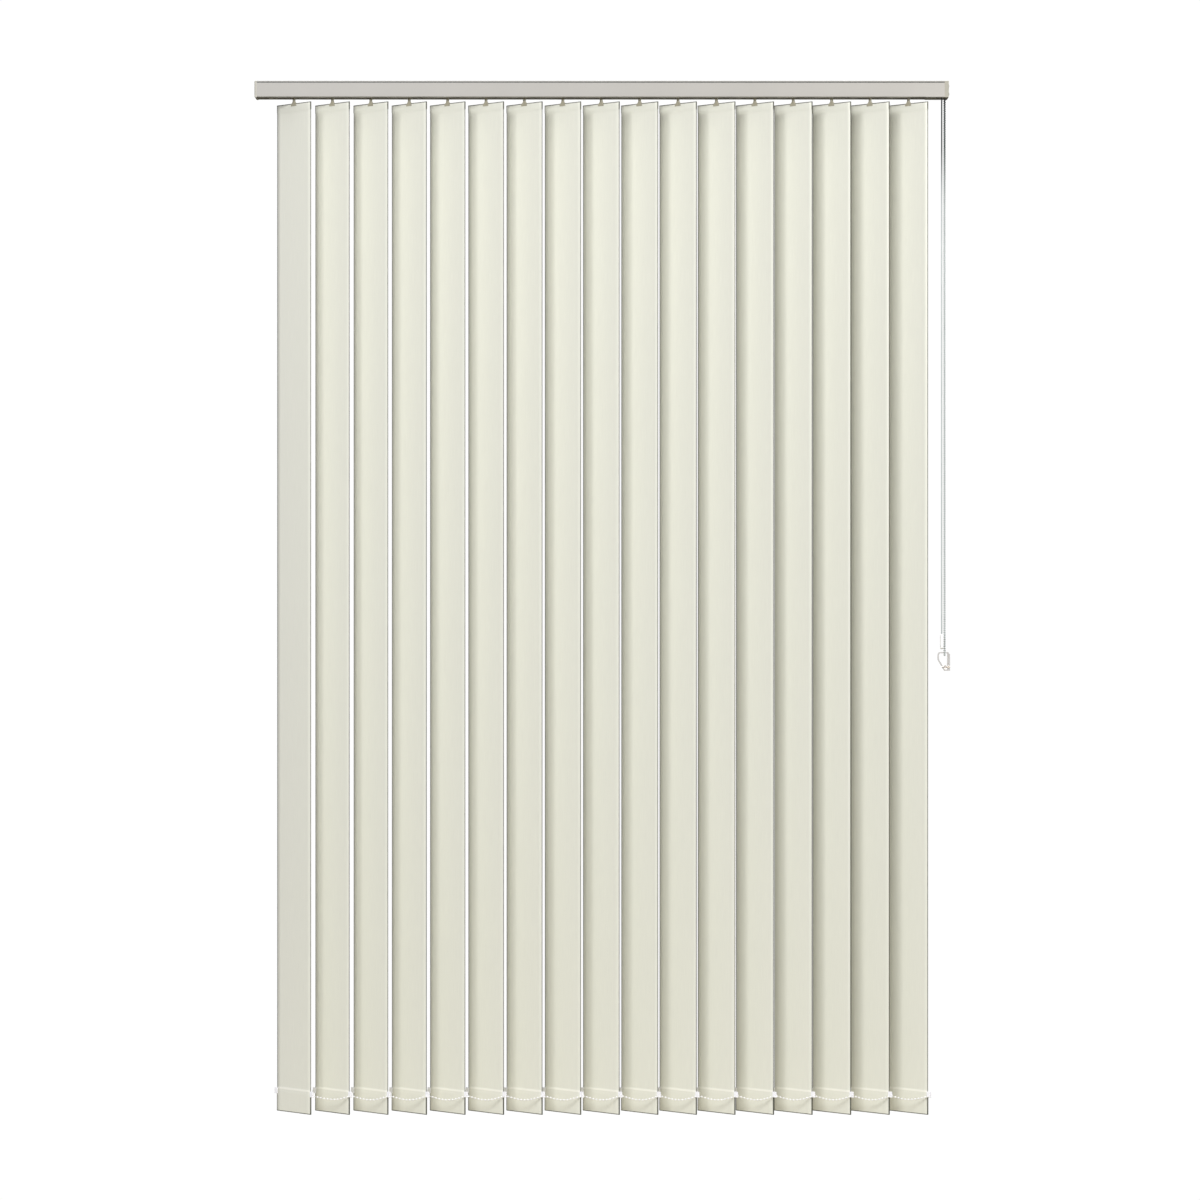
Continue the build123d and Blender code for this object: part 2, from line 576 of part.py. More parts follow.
# stiff hanger strip inside the top hem
with BuildPart() as hanger:
    with BuildSketch(face_plane):
        with Locations((0, hanger_z)):
            RectangleRounded(SLAT_WIDTH - 4, HEM_HEIGHT - 2 * fold, 1.5)
        with Locations((0, catch_z)):
            Circle(catch_radius + SOFT_FIT, mode=Mode.SUBTRACT)
    extrude(amount=HANGER_THICKNESS / 2, both=True)

# cloth, folded over the hanger and round the weight
with BuildPart() as cloth:
    with BuildSketch(end_plane):
        with Locations((0, (hem_bottom + pocket_top) / 2)):
            Rectangle(FABRIC, hem_bottom - pocket_top + FABRIC)
        with Locations((0, hanger_z)):
            Rectangle(2 * hem_half, HEM_HEIGHT)
            Rectangle(2 * (hem_half - FABRIC), HEM_HEIGHT - 2 * FABRIC, mode=Mode.SUBTRACT)
        with Locations((0, weight_z)):
            Rectangle(2 * pocket_half, POCKET_HEIGHT)
            Rectangle(2 * (pocket_half - FABRIC), POCKET_HEIGHT - 2 * FABRIC, mode=Mode.SUBTRACT)
    extrude(amount=SLAT_WIDTH)
    with BuildSketch(face_plane):
        with Locations((0, catch_z)):
            Circle(catch_radius + SOFT_FIT)
    extrude(amount=2 * hem_half, both=True, mode=Mode.SUBTRACT)

with BuildPart() as weight:
    with BuildSketch(face_plane):
        with Locations((0, weight_z)):
            RectangleRounded(SLAT_WIDTH - 3, POCKET_HEIGHT - 2 * fold, 2.0)
    extrude(amount=WEIGHT_THICKNESS / 2, both=True)

# clips on both bottom corners, gripping the pocket and holding the chain at their rounded ends
with BuildPart() as clips:
    for side in (-1, 1):
        with BuildSketch(top_plane):
            with Locations((side * (clip_axis_u - CLIP_GRIP), 0)):
                Rectangle(2 * CLIP_GRIP, CLIP_THICKNESS)
            with Locations((side * clip_axis_u, 0)):
                Circle(CLIP_THICKNESS / 2)
            with Locations((side * (SLAT_WIDTH / 2 - CLIP_GRIP), 0)):
                Rectangle(2 * (CLIP_GRIP + SOFT_FIT), 2 * (pocket_half + SOFT_FIT), mode=Mode.SUBTRACT)
        extrude(amount=CLIP_HEIGHT)

for number, x in enumerate(slat_x, start=1):
    with BuildPart() as slat:
        with Locations((x, 0, 0)):
            add(stem.part)
            add(hanger.part)
            add(cloth.part)
            add(weight.part)
            add(clips.part)
    save(slat, f"slat_{number:02d}")

# bottom chains: one swag from each clip to the next, in front of the slats and behind them
span = SLAT_PITCH - SWAG_NEAR_GAP - SWAG_FAR_GAP
swag_radius = (span**2 / 4 + SWAG_SAG**2) / (2 * SWAG_SAG)
for name, side, first_gap in (
    ("bottom_chain_front", 1, SWAG_NEAR_GAP),
    ("bottom_chain_back", -1, SWAG_FAR_GAP),
):
    clip_axis = along * (side * clip_axis_u)
    with BuildPart() as bottom_chain:
        for x in slat_x[:-1]:
            start = x + clip_axis.X + first_gap
            with BuildLine() as swag:
                ThreePointArc(
                    (start, clip_axis.Y, swag_z),
                    (start + span / 2, clip_axis.Y, swag_z - SWAG_SAG),
                    (start + span, clip_axis.Y, swag_z),
                )
            tube(swag.wires()[0], CHAIN_RADIUS)
    save(bottom_chain, name)

# each cord's radius and length, with its solid's volume beside section times length
swag_length = 2 * swag_radius * math.asin(span / 2 / swag_radius) * (SLAT_COUNT - 1)
for name, piece, radius, length in (
    ("rail_cord", rail_cord, CORD_RADIUS, rail_route.wires()[0].length),
    ("pull_cord", pull_cord, CORD_RADIUS, pull_route.wires()[0].length),
    ("tilt_chain", tilt_chain, CHAIN_RADIUS, hanging_route.wires()[0].length),
    ("bottom_chain_back", bottom_chain, CHAIN_RADIUS, swag_length),
):
    expected = math.pi * radius**2 * length
    print(f"{name}: radius {radius} mm, length {length:.1f} mm")
    print(f"    volume {piece.part.volume:.1f} mm3, section times length {expected:.1f} mm3")
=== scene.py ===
"""Vertical blind, dressed for rendering: cloth slats, bead chains, cords and moulded fittings."""
import json
import math

import bmesh
import bpy
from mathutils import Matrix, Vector


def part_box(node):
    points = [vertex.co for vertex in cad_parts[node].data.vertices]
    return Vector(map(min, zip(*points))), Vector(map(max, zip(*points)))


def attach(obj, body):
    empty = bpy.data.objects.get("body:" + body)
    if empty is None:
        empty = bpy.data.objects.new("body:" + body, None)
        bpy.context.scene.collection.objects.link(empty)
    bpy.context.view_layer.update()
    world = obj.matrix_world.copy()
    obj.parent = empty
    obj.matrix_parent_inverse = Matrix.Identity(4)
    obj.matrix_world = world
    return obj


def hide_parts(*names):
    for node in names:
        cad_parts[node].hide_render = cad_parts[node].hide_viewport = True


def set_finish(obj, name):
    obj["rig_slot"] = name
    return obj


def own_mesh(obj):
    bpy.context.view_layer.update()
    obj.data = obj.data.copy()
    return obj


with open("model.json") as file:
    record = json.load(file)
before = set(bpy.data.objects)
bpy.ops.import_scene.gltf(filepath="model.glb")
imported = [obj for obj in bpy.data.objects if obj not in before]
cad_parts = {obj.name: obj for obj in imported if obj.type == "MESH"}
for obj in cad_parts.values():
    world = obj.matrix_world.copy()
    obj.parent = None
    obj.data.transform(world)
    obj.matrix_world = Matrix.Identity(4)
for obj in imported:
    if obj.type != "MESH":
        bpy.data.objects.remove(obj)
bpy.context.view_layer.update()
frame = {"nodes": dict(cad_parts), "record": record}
nodes = frame["nodes"]
bodies = frame["record"]["behaviour"]["bodies"]
boxes = {name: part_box(name) for name in nodes}
MM = 0.001

# places that come from the frame, in metres
slat_names = sorted(name for name in nodes if name.startswith("slat_"))
slat_x = [(boxes[name][0].x + boxes[name][1].x) / 2 for name in slat_names]

# view and floor, in metres
CAMERA_PLACE = (-0.0022, -7.4, -0.898)
SENSOR_WIDTH, LENS = 36.0, 128.0  # in millimetres
FLOOR_LEVEL, FLOOR_HALF = -2.4, 1.4

# slat sizes, in millimetres as in the CAD
SLAT_ANGLE = 45.0  # degrees from the rail
SLAT_WIDTH = 89.0
SLAT_TOP, SLAT_BOTTOM = -37.0, -1787.0
HEM, POCKET = 14.0, 40.0
CLOTH = 0.36  # the cloth's thickness
HEM_HALF, POCKET_HALF = 0.62, 0.78  # from the slat's middle to the cloth's layers there
CLOTH_COLUMNS, CLOTH_ROWS = 10, 44

# half widths of the cloth's seam and of the painted shade along its cut edges and folds, in metres as its
# own measure is
SEAM_HALF, EDGE_SHADE_HALF = 0.0017, 0.0013
TOP_FOLD_SHADE_HALF, BOTTOM_FOLD_SHADE_HALF = 0.0018, 0.0011

# stem, in millimetres
GEAR_TOP, GEAR_BOTTOM = -11.0, -17.0
GEAR_TIP, GEAR_ROOT, GEAR_TEETH = 4.1, 3.5, 12
NECK_RADIUS, NECK_BOTTOM = 2.5, -30.0
JAW_INSIDE, JAW_OUTSIDE = 0.75, 1.5

# clips and beads, in millimetres
CLIP_AXIS = 49.0
CLIP_Z = -1752.0
CLIP_HEIGHT = 10.0
CLIP_GRIP = 6.6
CLIP_THICKNESS = 3.2
BEAD = 3.2
THREAD_SHARE = 0.09  # of a bead's diameter

# headrail, in millimetres
RAIL_FROM, TRACK_TO, RAIL_TO = -596.0, 562.0, 594.0
RAIL_DEPTH, RAIL_HEIGHT, RAIL_WALL = 40.0, 28.0, 1.4
RAIL_SLOT, RAIL_LIP, RAIL_RECESS = 12.0, 14.0, 4.0
RAIL_ROUND = 1.6
RAIL_GROOVE = 2.2
GROOVE_HALF, GROOVE_DEPTH = 0.9, 0.8

# cord and chain routes, in metres
CORD_X = 0.5896
CORD_FRONT, CORD_BACK = -0.0145, -0.0065
CORD_TOP, CORD_LOOP = -0.016, -0.966
CORD_DIAMETER = 0.0018
CHAIN_X = 0.5962
CHAIN_FRONT, CHAIN_MIDDLE, CHAIN_BACK = 0.002, 0.009, 0.016
CHAIN_TOP, CHAIN_LOOP, CHAIN_TURN = -0.014, -0.9867, 0.007
CHAIN_DIAMETER = 0.0032
CHAIN_PITCH = 0.0039
SWAG_Z, SWAG_SAG, SWAG_PITCH = -1.754, 0.007, 0.0058

# light levels
SKY_LIGHT, GROUND_LIGHT = 0.59, 0.05
KEY_POWER, SIDE_POWER, BACK_POWER = 204, 21, 46

# height in metres and colour, from low to high; the dark high stops are painted shade below the rail
CORD_COLOUR_SHADE_STOPS = [
    (-0.30, (181, 187, 188)), (-0.205, (170, 175, 177)), (-0.12, (52, 58, 62)), (-0.03, (22, 29, 32)),
]
BEAD_COLOUR_SHADE_STOPS = [
    (-0.30, (190, 197, 197)), (-0.205, (178, 184, 184)), (-0.12, (74, 84, 83)), (-0.03, (30, 38, 40)),
]

# directions along a slat's width, towards the front right, and across it, towards the back right
turn = math.radians(SLAT_ANGLE)
along = Vector((math.cos(turn), -math.sin(turn), 0))
across = Vector((math.sin(turn), math.cos(turn), 0))


def body_with(node):
    """The body that holds a CAD node."""
    return next(name for name, members in bodies.items() if node in members)


def linear(red, green, blue):
    """A colour given in 0 to 255 display values, as scene-linear values."""
    steps = [value / 255 for value in (red, green, blue)]
    return [s / 12.92 if s <= 0.04045 else ((s + 0.055) / 1.055) ** 2.4 for s in steps] + [1.0]


# ---------------------------------------------------------------- camera, light and floor

def make_camera():
    """Straight on, level with the middle of the blind."""
    data = bpy.data.cameras.new("camera")
    data.sensor_width = SENSOR_WIDTH
    data.lens = LENS
    data.clip_end = 60.0
    camera = bpy.data.objects.new("camera", data)
    camera.location = CAMERA_PLACE
    camera.rotation_euler = (math.radians(90), 0, 0)
    bpy.context.scene.collection.objects.link(camera)
    bpy.context.scene.camera = camera


def area_light(name, place, target, size, power, colour):
    """A rectangular soft light at a place, turned towards a target."""
    data = bpy.data.lights.new(name, "AREA")
    data.shape = "RECTANGLE"
    data.size, data.size_y = size
    data.energy = power
    data.color = colour
    light = bpy.data.objects.new(name, data)
    light.location = place
    light.rotation_euler = (Vector(target) - Vector(place)).to_track_quat("-Z", "Y").to_euler()
    bpy.context.scene.collection.objects.link(light)


def make_lights():
    """White behind the object, a pale sky, a dim ground, a key from the front left and a fill behind."""
    bpy.context.scene.view_settings.view_transform = "Standard"
    world = bpy.data.worlds.new("studio")
    bpy.context.scene.world = world
    world.use_nodes = True
    tree = world.node_tree
    background = tree.nodes["Background"]
    background.inputs["Strength"].default_value = 1.0
    direction = tree.nodes.new("ShaderNodeTexCoord").outputs["Generated"]
    split = tree.nodes.new("ShaderNodeSeparateXYZ")
    ramp = tree.nodes.new("ShaderNodeValToRGB")
    ramp.color_ramp.elements[0].position = 0.42
    ramp.color_ramp.elements[1].position = 0.62
    ramp.color_ramp.elements[0].color = (GROUND_LIGHT, GROUND_LIGHT * 0.94, GROUND_LIGHT * 0.82, 1)
    ramp.color_ramp.elements[1].color = (SKY_LIGHT, SKY_LIGHT, SKY_LIGHT * 1.01, 1)
    raised = tree.nodes.new("ShaderNodeMapRange")
    raised.inputs["From Min"].default_value = -1.0
    seen = tree.nodes.new("ShaderNodeLightPath")
    pick = tree.nodes.new("ShaderNodeMix")
    pick.data_type = "RGBA"
    pick.inputs["B"].default_value = (1.02, 1.02, 1.02, 1)
    tree.links.new(direction, split.inputs["Vector"])
    tree.links.new(split.outputs["Z"], raised.inputs["Value"])
    tree.links.new(raised.outputs["Result"], ramp.inputs["Fac"])
    tree.links.new(ramp.outputs["Color"], pick.inputs["A"])
    tree.links.new(seen.outputs["Is Camera Ray"], pick.inputs["Factor"])
    tree.links.new(pick.outputs["Result"], background.inputs["Color"])
    area_light("key", (-1.15, -4.5, 1.1), (0, 0, -0.55), (2.4, 1.4), KEY_POWER, (1, 1, 0.998))
    area_light("side", (1.6, -0.9, 0.25), (0.5, 0, -0.1), (0.5, 0.8), SIDE_POWER, (1, 0.99, 0.97))
    area_light("back", (0.9, 3.6, 0.9), (0, 0, -0.7), (2.4, 1.8), BACK_POWER, (1, 1, 1))


def make_floor():
    """Pale floor under the blind, below the picture's edge."""
    mesh = bpy.data.meshes.new("floor")
    build = bmesh.new()
    bmesh.ops.create_grid(build, x_segments=1, y_segments=1, size=FLOOR_HALF)
    build.to_mesh(mesh)
    build.free()
    floor = bpy.data.objects.new("floor", mesh)
    floor.location = (0, 0, FLOOR_LEVEL)
    bpy.context.scene.collection.objects.link(floor)
    mesh.materials.append(moulded("floor_paint", (218, 210, 186), 0.7, 0.0, 4))


# ---------------------------------------------------------------- materials

def new_material(name):
    """A material with its node tree and its main shader."""
    material = bpy.data.materials.new(name)
    material.use_nodes = True
    tree = material.node_tree
    return material, tree, tree.nodes["Principled BSDF"]


def node(tree, kind, **inputs):
    """A shader node with some of its inputs set."""
    made = tree.nodes.new(kind)
    for key, value in inputs.items():
        made.inputs[key.replace("_", " ")].default_value = value
    return made


def mottled(tree, shader, coordinates, colour, spread, scale):
    """Colour that wanders a little from place to place."""
    noise = node(tree, "ShaderNodeTexNoise", Scale=scale, Detail=4.0)
    ramp = tree.nodes.new("ShaderNodeValToRGB")
    low = [max(0.0, c * (1 - spread)) for c in colour[:3]] + [1.0]
    high = [min(1.0, c * (1 + spread)) for c in colour[:3]] + [1.0]
    ramp.color_ramp.elements[0].position = 0.3
    ramp.color_ramp.elements[1].position = 0.7
    ramp.color_ramp.elements[0].color = low
    ramp.color_ramp.elements[1].color = high
    tree.links.new(coordinates, noise.inputs["Vector"])
    tree.links.new(noise.outputs["Fac"], ramp.inputs["Fac"])
    tree.links.new(ramp.outputs["Color"], shader.inputs["Base Color"])
    return ramp


def height_shade_ramp(tree, coordinates, stops):
    """Colour that changes with height, from stops of a height in metres and a display colour, used to paint
    shade below the rail.
    """
    low, high = stops[0][0], stops[-1][0]
    split = tree.nodes.new("ShaderNodeSeparateXYZ")
    level = tree.nodes.new("ShaderNodeMapRange")
    level.inputs["From Min"].default_value = low
    level.inputs["From Max"].default_value = high
    ramp = tree.nodes.new("ShaderNodeValToRGB")
    elements = ramp.color_ramp.elements
    for number, (height, colour) in enumerate(stops):
        place = (height - low) / (high - low)
        stop = elements[number] if number < 2 else elements.new(place)
        stop.position = place
        stop.color = linear(*colour)
    tree.links.new(coordinates, split.inputs["Vector"])
    tree.links.new(split.outputs["Z"], level.inputs["Value"])
    tree.links.new(level.outputs["Result"], ramp.inputs["Fac"])
    return ramp.outputs["Color"]


def moulded(name, colour, roughness, bump, scale, **sockets):
    """Moulded plastic, paint or metal: faint mottling and a fine grain."""
    material, tree, shader = new_material(name)
    place = tree.nodes.new("ShaderNodeTexCoord").outputs["Object"]
    mottled(tree, shader, place, linear(*colour), 0.025, scale)
    shader.inputs["Roughness"].default_value = roughness
    for key, value in sockets.items():
        shader.inputs[key.replace("_", " ")].default_value = value
    if bump:
        grain = node(tree, "ShaderNodeTexNoise", Scale=2600.0, Detail=2.0)
        relief = node(tree, "ShaderNodeBump", Strength=bump, Distance=0.00005)
        tree.links.new(place, grain.inputs["Vector"])
        tree.links.new(grain.outputs["Fac"], relief.inputs["Height"])
        tree.links.new(relief.outputs["Normal"], shader.inputs["Normal"])
    return material


def band(tree, run, middle, half):
    """1 within a band along a measure, 0 outside it."""
    away = node(tree, "ShaderNodeMath")
    away.operation = "SUBTRACT"
    away.inputs[1].default_value = middle
    size = node(tree, "ShaderNodeMath")
    size.operation = "ABSOLUTE"
    edge = tree.nodes.new("ShaderNodeMapRange")
    edge.interpolation_type = "SMOOTHSTEP"
    edge.inputs["From Min"].default_value = half * 0.7
    edge.inputs["From Max"].default_value = half * 1.3
    edge.inputs["To Min"].default_value = 1.0
    edge.inputs["To Max"].default_value = 0.0
    tree.links.new(run, away.inputs[0])
    tree.links.new(away.outputs["Value"], size.inputs[0])
    tree.links.new(size.outputs["Value"], edge.inputs["Value"])
    return edge.outputs["Result"]


def woven(name, colour, seam, seam_colour, folds, edge_shade_colour):
    """Plain weave with faint slubs, a paler welded seam, and painted shade along the cut edges and folds."""
    material, tree, shader = new_material(name)
    place = tree.nodes.new("ShaderNodeTexCoord").outputs["UV"]
    stretch = node(tree, "ShaderNodeMapping", Scale=(900.0, 30.0, 1.0))
    slub = node(tree, "ShaderNodeTexNoise", Scale=1.0, Detail=3.0)
    ramp = tree.nodes.new("ShaderNodeValToRGB")
    base = linear(*colour)
    ramp.color_ramp.elements[0].position = 0.25
    ramp.color_ramp.elements[1].position = 0.75
    ramp.color_ramp.elements[0].color = [c * 0.972 for c in base[:3]] + [1.0]
    ramp.color_ramp.elements[1].color = [min(1.0, c * 1.02) for c in base[:3]] + [1.0]
    tree.links.new(place, stretch.inputs["Vector"])
    tree.links.new(stretch.outputs["Vector"], slub.inputs["Vector"])
    tree.links.new(slub.outputs["Fac"], ramp.inputs["Fac"])
    split = tree.nodes.new("ShaderNodeSeparateXYZ")
    weld = tree.nodes.new("ShaderNodeMix")
    weld.data_type = "RGBA"
    weld.inputs["B"].default_value = linear(*seam_colour)
    tree.links.new(place, split.inputs["Vector"])
    tree.links.new(band(tree, split.outputs["Y"], seam, SEAM_HALF), weld.inputs["Factor"])
    tree.links.new(ramp.outputs["Color"], weld.inputs["A"])
    shade_mask = None
    for direction, middle, half in [("X", 0.0, EDGE_SHADE_HALF), ("X", SLAT_WIDTH * MM, EDGE_SHADE_HALF), *folds]:
        near = band(tree, split.outputs[direction], middle, half)
        if shade_mask is not None:
            joined = node(tree, "ShaderNodeMath")
            joined.operation = "MAXIMUM"
            tree.links.new(shade_mask, joined.inputs[0])
            tree.links.new(near, joined.inputs[1])
            near = joined.outputs["Value"]
        shade_mask = near
    # painted shade along the cloth's cut edges and folds
    edge_shaded = tree.nodes.new("ShaderNodeMix")
    edge_shaded.data_type = "RGBA"
    edge_shaded.inputs["B"].default_value = linear(*edge_shade_colour)
    tree.links.new(shade_mask, edge_shaded.inputs["Factor"])
    tree.links.new(weld.outputs["Result"], edge_shaded.inputs["A"])
    tree.links.new(edge_shaded.outputs["Result"], shader.inputs["Base Color"])
    heights = []
    for direction in ("X", "Y"):
        wave = node(tree, "ShaderNodeTexWave", Scale=180.0, Distortion=0.6)
        wave.bands_direction = direction
        tree.links.new(place, wave.inputs["Vector"])
        heights.append(wave.outputs["Fac"])
    threads = tree.nodes.new("ShaderNodeMath")
    threads.operation = "MAXIMUM"
    tree.links.new(heights[0], threads.inputs[0])
    tree.links.new(heights[1], threads.inputs[1])
    relief = node(tree, "ShaderNodeBump", Strength=0.35, Distance=0.00012)
    tree.links.new(threads.outputs["Value"], relief.inputs["Height"])
    tree.links.new(relief.outputs["Normal"], shader.inputs["Normal"])
    shader.inputs["Roughness"].default_value = 0.82
    shader.inputs["Sheen Weight"].default_value = 0.12
    shader.inputs["Sheen Roughness"].default_value = 0.5
    shader.inputs["Specular IOR Level"].default_value = 0.25
    return material


def rail_paint(name, colour, groove_shade_colour):
    """Painted extrusion, with painted shade darkening the groove along its top."""
    material = moulded(name, colour, 0.45, 0.35, 9)
    tree = material.node_tree
    base = tree.nodes["Principled BSDF"].inputs["Base Color"]
    plain = base.links[0].from_socket
    place = tree.nodes.new("ShaderNodeTexCoord").outputs["Object"]
    split = tree.nodes.new("ShaderNodeSeparateXYZ")
    groove_shaded = tree.nodes.new("ShaderNodeMix")
    groove_shaded.data_type = "RGBA"
    groove_shaded.inputs["B"].default_value = linear(*groove_shade_colour)
    tree.links.new(place, split.inputs["Vector"])
    # painted shade: a dark band along the groove below the rail's top
    groove = band(tree, split.outputs["Z"], -RAIL_GROOVE * MM, GROOVE_HALF * MM)
    tree.links.new(groove, groove_shaded.inputs["Factor"])
    tree.links.new(plain, groove_shaded.inputs["A"])
    tree.links.new(groove_shaded.outputs["Result"], base)
    return material


def braided(name):
    """Braided cord: slanting threads that cross, with painted shade darkening the part just below the rail.
    """
    material, tree, shader = new_material(name)
    place = tree.nodes.new("ShaderNodeTexCoord").outputs["Object"]
    # the cord's colour carries painted shade just below the rail
    tree.links.new(height_shade_ramp(tree, place, CORD_COLOUR_SHADE_STOPS), shader.inputs["Base Color"])
    heights = []
    for tilt in (0.7, -0.7):
        slant = node(tree, "ShaderNodeMapping", Rotation=(0, tilt, 0))
        wave = node(tree, "ShaderNodeTexWave", Scale=420.0, Distortion=0.3)
        wave.bands_direction = "Z"
        tree.links.new(place, slant.inputs["Vector"])
        tree.links.new(slant.outputs["Vector"], wave.inputs["Vector"])
        heights.append(wave.outputs["Fac"])
    threads = tree.nodes.new("ShaderNodeMath")
    threads.operation = "MAXIMUM"
    tree.links.new(heights[0], threads.inputs[0])
    tree.links.new(heights[1], threads.inputs[1])
    relief = node(tree, "ShaderNodeBump", Strength=0.6, Distance=0.0002)
    tree.links.new(threads.outputs["Value"], relief.inputs["Height"])
    tree.links.new(relief.outputs["Normal"], shader.inputs["Normal"])
    shader.inputs["Roughness"].default_value = 0.75
    shader.inputs["Sheen Weight"].default_value = 0.2
    return material


def bead_plastic(name):
    """The control chain's beads, with painted shade darkening them just below the rail."""
    material, tree, shader = new_material(name)
    place = tree.nodes.new("ShaderNodeTexCoord").outputs["Object"]
    # the beads' colour carries painted shade just below the rail
    tree.links.new(height_shade_ramp(tree, place, BEAD_COLOUR_SHADE_STOPS), shader.inputs["Base Color"])
    shader.inputs["Roughness"].default_value = 0.35
    return material


def clear_plastic(name, colour):
    """Clear moulding with a faint tint and smooth faces."""
    material, tree, shader = new_material(name)
    place = tree.nodes.new("ShaderNodeTexCoord").outputs["Object"]
    mottled(tree, shader, place, linear(*colour), 0.01, 60.0)
    shader.inputs["Roughness"].default_value = 0.06
    shader.inputs["IOR"].default_value = 1.49
    shader.inputs["Transmission Weight"].default_value = 0.92
    shader.inputs["Alpha"].default_value = 0.32
    return material


# ---------------------------------------------------------------- mesh helpers

def make_object(name, build, material, smooth=True, slot=None):
    """An object from a finished bmesh, with its material and its slot."""
    mesh = bpy.data.meshes.new(name)
    bmesh.ops.recalc_face_normals(build, faces=build.faces)
    build.to_mesh(mesh)
    build.free()
    mesh.materials.append(material)
    if smooth:
        mesh.shade_smooth()
    made = bpy.data.objects.new(name, mesh)
    bpy.context.scene.collection.objects.link(made)
    if slot:
        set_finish(made, slot)
    return made


def place_copy(source, name, body, x):
    """The same mesh at another slat's axis, riding on that slat's body."""
    made = bpy.data.objects.new(name, source.data)
    made.location = (x, 0, 0)
    for modifier in source.modifiers:
        copy = made.modifiers.new(modifier.name, modifier.type)
        copy.width, copy.segments = modifier.width, modifier.segments
        copy.limit_method, copy.angle_limit = modifier.limit_method, modifier.angle_limit
    bpy.context.scene.collection.objects.link(made)
    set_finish(made, source["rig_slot"])
    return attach(made, body)


def rings_to_mesh(build, rings, closed_ends=True):
    """Skin over rings of equal size, each a list of points."""
    made = [[build.verts.new(p) for p in ring] for ring in rings]
    count = len(made[0])
    for first, second in zip(made, made[1:]):
        for i in range(count):
            j = (i + 1) % count
            build.faces.new((first[i], first[j], second[j], second[i]))
    if closed_ends:
        build.faces.new(list(reversed(made[0])))
        build.faces.new(made[-1])


def on_slat(u, v, z):
    """A point given in millimetres along and across a slat at the middle axis."""
    return (along * u + across * v + Vector((0, 0, z))) * MM


def superellipse(half_u, half_v, z, power, count=24):
    """A ring round a slat's axis, from a circle at power 2 to a rounded rectangle above it."""
    ring = []
    for i in range(count):
        a = 2 * math.pi * (i + 0.5) / count
        c, s = math.cos(a), math.sin(a)
        ring.append(on_slat(
            half_u * math.copysign(abs(c) ** (2 / power), c),
            half_v * math.copysign(abs(s) ** (2 / power), s),
            z,
        ))
    return ring


def add_bevel(made, width, segments=2):
    """Round an object's sharp edges, by a width in millimetres."""
    bevel = made.modifiers.new("round", "BEVEL")
    bevel.width, bevel.segments = width * MM, segments
    bevel.limit_method, bevel.angle_limit = "ANGLE", math.radians(40)
    return made


# ---------------------------------------------------------------- slats

def cloth_path():
    """The cloth's line across its thickness, from the end of the top hem to the end of the pocket."""
    points = [(0.30, SLAT_TOP - HEM + 0.2)]
    points += [(HEM_HALF, SLAT_TOP - HEM + z) for z in (2.0, HEM / 2, HEM - HEM_HALF)]
    for step in range(1, 6):
        a = math.pi * step / 6
        points.append((HEM_HALF * math.cos(a), SLAT_TOP - HEM_HALF + HEM_HALF * math.sin(a)))
    points += [(-HEM_HALF, SLAT_TOP - z) for z in (HEM_HALF, HEM / 2, HEM - 2.0)]
    points += [(-0.22, SLAT_TOP - HEM + 0.2), (0.0, SLAT_TOP - HEM - 1.2)]
    pocket_top = SLAT_BOTTOM + POCKET
    upper, lower = SLAT_TOP - HEM - 4.0, pocket_top + 4.0
    points += [(0.0, upper + (lower - upper) * i / CLOTH_ROWS) for i in range(CLOTH_ROWS + 1)]
    points += [(0.0, pocket_top + 1.4), (-0.55, pocket_top + 0.2), (-0.30, pocket_top - 0.9)]
    points += [(-POCKET_HALF, pocket_top - z) for z in (3.0, 8.0, POCKET / 2, POCKET - 3.0)]
    points.append((-POCKET_HALF, SLAT_BOTTOM + POCKET_HALF))
    for step in range(1, 6):
        a = math.pi + math.pi * step / 6
        points.append((POCKET_HALF * math.cos(a), SLAT_BOTTOM + POCKET_HALF + POCKET_HALF * math.sin(a)))
    points += [(POCKET_HALF, SLAT_BOTTOM + POCKET_HALF), (POCKET_HALF, SLAT_BOTTOM + 3.0)]
    points += [(POCKET_HALF, pocket_top - z) for z in (POCKET / 2, 8.0, 3.0)]
    points += [(0.30, pocket_top - 0.9), (0.38, pocket_top + 0.2)]
    return points


def run_to(points, level):
    """Metres along the cloth's line from its start to the first point below a level, past the top hem."""
    run = 0.0
    for a, b in zip(points, points[1:]):
        run += math.dist(a, b)
        if b[1] < level + 0.3:
            return run * MM
    return run * MM


def path_length(points):
    """A line's length, in the points' own measure."""
    return sum(math.dist(a, b) for a, b in zip(points, points[1:]))


